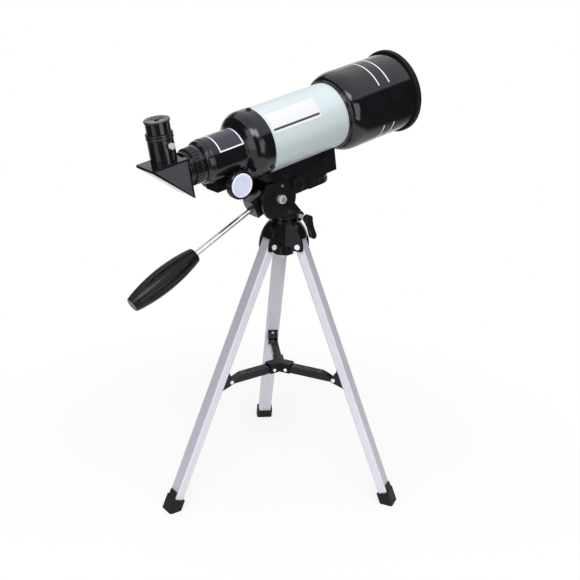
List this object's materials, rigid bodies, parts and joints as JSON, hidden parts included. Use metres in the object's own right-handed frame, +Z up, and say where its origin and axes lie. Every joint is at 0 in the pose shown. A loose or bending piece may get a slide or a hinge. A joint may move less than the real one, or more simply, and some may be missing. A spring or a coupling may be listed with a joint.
{
  "type": "telescope on tripod",
  "caption": "Short refracting telescope with dew shield, focuser, diagonal and eyepiece on a pan and tilt head over a braced folding table tripod.",
  "frame": {"origin": "on the floor under the pan axis, midway between the three feet", "axes": "+Z up along the pan axis, +X the way the telescope points, +Y to its left"},
  "size_m": [0.38, 0.2869, 0.5241],
  "materials": {
    "black_plastic": "gloss moulded black",
    "black_matt_plastic": "matt moulded black",
    "black_rubber": "matt black rubber",
    "tube_paint": "satin pearl pale green",
    "black_metal": "matt black paint",
    "leg_aluminium": "satin anodised",
    "bright_steel": "bright plated",
    "screw_steel": "plated steel",
    "pale_plastic": "pale blue white moulded",
    "lens_glass": "coated polished glass",
    "mirror_glass": "aluminised flat"
  },
  "bodies": {
    "stand": {"crown": "black_plastic", "leg_pivot_rivets": "bright_steel", "pan_spindle": "screw_steel"},
    "leg_left": {"leg_tube_left": "leg_aluminium", "leg_foot_left": "black_rubber", "leg_bracket_left": "black_plastic", "bracket_rivets_left": "screw_steel"},
    "leg_right": {"leg_tube_right": "leg_aluminium", "leg_foot_right": "black_rubber", "leg_bracket_right": "black_plastic", "bracket_rivets_right": "screw_steel"},
    "leg_back": {"leg_tube_back": "leg_aluminium", "leg_foot_back": "black_rubber", "leg_bracket_back": "black_plastic", "bracket_rivets_back": "screw_steel"},
    "hub": {"brace_hub": "black_plastic", "hub_pins": "screw_steel"},
    "arm_left": {"brace_arm_left": "black_plastic"},
    "arm_right": {"brace_arm_right": "black_plastic"},
    "arm_back": {"brace_arm_back": "black_plastic"},
    "pan": {"pan_fork": "black_plastic", "tilt_bolt": "screw_steel", "tilt_nut": "bright_steel", "tilt_stop_screw": "screw_steel"},
    "pan_lock": {"pan_lock_screw": "screw_steel", "pan_lock_lever": "black_plastic"},
    "tilt": {"tilt_body": "black_plastic", "mount_foot": "black_plastic", "foot_bolts": "screw_steel", "main_tube": "tube_paint", "tube_baffle": "black_matt_plastic", "dew_shield": "black_plastic", "shield_rim": "black_rubber", "objective_cell": "black_matt_plastic", "objective_rear_lens": "lens_glass", "objective_front_lens": "lens_glass", "lens_keeper": "black_metal", "focuser_body": "black_plastic", "tube_screws": "black_metal", "pinion_housing": "black_plastic"},
    "camera_screw_body": {"camera_screw": "black_plastic"},
    "handle": {"handle_rod": "bright_steel", "handle_grip": "black_matt_plastic"},
    "side_knob_body": {"side_knob": "black_plastic"},
    "pinion": {"pinion_shaft": "screw_steel", "focus_knob_near": "black_plastic", "focus_knob_far": "black_plastic", "focus_knob_caps": "pale_plastic"},
    "focus_tube": {"drawtube": "black_metal", "drawtube_collar": "black_plastic"},
    "diagonal": {"diagonal_nose": "black_plastic", "diagonal_housing": "black_plastic", "diagonal_cover": "black_plastic", "diagonal_mirror": "mirror_glass"},
    "set_screw_body": {"set_screw": "bright_steel"},
    "eyepiece": {"eyepiece_barrel": "black_plastic", "eyepiece_top": "black_plastic", "eyepiece_lenses": "lens_glass"}
  },
  "joints": [
    {"name": "leg_left_fold", "type": "hinge", "parent": "stand", "child": "leg_left", "pos_m": [-0.02218, 0.00093, 0.311], "axis": [-0.0419, -0.9991, 0], "range_deg": [0, 21]},
    {"name": "leg_right_fold", "type": "hinge", "parent": "stand", "child": "leg_right", "pos_m": [0.01029, -0.01967, 0.311], "axis": [0.8862, 0.4633, 0], "range_deg": [0, 21]},
    {"name": "leg_back_fold", "type": "hinge", "parent": "stand", "child": "leg_back", "pos_m": [0.01189, 0.01874, 0.311], "axis": [-0.8443, 0.5358, 0], "range_deg": [0, 21]},
    {"name": "hub_lift", "type": "slide", "parent": "stand", "child": "hub", "axis": [0, 0, 1], "range_m": [0, 0.0547]},
    {"name": "arm_left_turn", "type": "hinge", "parent": "hub", "child": "arm_left", "pos_m": [-0.01139, 0.00048, 0.1495], "axis": [-0.0419, -0.9991, 0], "range_deg": [0, 89.1]},
    {"name": "arm_right_turn", "type": "hinge", "parent": "hub", "child": "arm_right", "pos_m": [0.00528, -0.0101, 0.1495], "axis": [0.8862, 0.4633, 0], "range_deg": [0, 89.1]},
    {"name": "arm_back_turn", "type": "hinge", "parent": "hub", "child": "arm_back", "pos_m": [0.00611, 0.00962, 0.1495], "axis": [-0.8443, 0.5358, 0], "range_deg": [0, 89.1]},
    {"name": "pan_turn", "type": "hinge", "parent": "stand", "child": "pan", "pos_m": [0, 0, 0.3407], "axis": [0, 0, 1], "continuous": true},
    {"name": "pan_lock_turn", "type": "hinge", "parent": "pan", "child": "pan_lock", "pos_m": [0.003, -0.0248, 0.348], "axis": [0, -1, 0], "range_deg": [-60, 60]},
    {"name": "tilt_turn", "type": "hinge", "parent": "pan", "child": "tilt", "pos_m": [-0.0211, 0, 0.3702], "axis": [0, -1, 0], "range_deg": [-30, 35]},
    {"name": "camera_screw_turn", "type": "hinge", "parent": "tilt", "child": "camera_screw_body", "pos_m": [0.04032, 0, 0.38422], "axis": [-0.1947, 0, 0.9809], "continuous": true},
    {"name": "handle_turn", "type": "hinge", "parent": "tilt", "child": "handle", "pos_m": [-0.04834, 0, 0.35839], "axis": [-0.8854, 0, -0.4648], "continuous": true},
    {"name": "side_knob_turn", "type": "hinge", "parent": "tilt", "child": "side_knob_body", "pos_m": [0.00051, -0.0195, 0.38447], "axis": [0, -1, 0], "continuous": true},
    {"name": "focus_slide", "type": "slide", "parent": "tilt", "child": "focus_tube", "axis": [-0.9809, 0, -0.1947], "range_m": [0, 0.06]},
    {"name": "focus_knob_turn", "type": "hinge", "parent": "tilt", "child": "pinion", "pos_m": [-0.08467, 0, 0.39702], "axis": [0, -1, 0], "range_deg": [0, 830]},
    {"name": "diagonal_turn", "type": "hinge", "parent": "focus_tube", "child": "diagonal", "pos_m": [-0.1383, 0, 0.41604], "axis": [0.9809, 0, 0.1947], "range_deg": [-180, 180]},
    {"name": "set_screw_turn", "type": "hinge", "parent": "diagonal", "child": "set_screw_body", "pos_m": [-0.16699, 0, 0.44552], "axis": [0.1195, -0.9925, 0.0237], "continuous": true},
    {"name": "eyepiece_slide", "type": "slide", "parent": "diagonal", "child": "eyepiece", "axis": [-0.1947, 0, 0.9809], "range_m": [0, 0.025]}
  ],
  "couplings": [
    {"joint": "leg_right_fold", "follows": "leg_left_fold", "ratio": 1},
    {"joint": "leg_back_fold", "follows": "leg_left_fold", "ratio": 1},
    {"joint": "hub_lift", "follows": "leg_left_fold", "m_per_rad": 0.14904},
    {"joint": "arm_left_turn", "follows": "leg_left_fold", "ratio": 4.2378},
    {"joint": "arm_right_turn", "follows": "leg_left_fold", "ratio": 4.2378},
    {"joint": "arm_back_turn", "follows": "leg_left_fold", "ratio": 4.2378},
    {"joint": "focus_knob_turn", "follows": "focus_slide", "rad_per_m": 238.1}
  ]
}
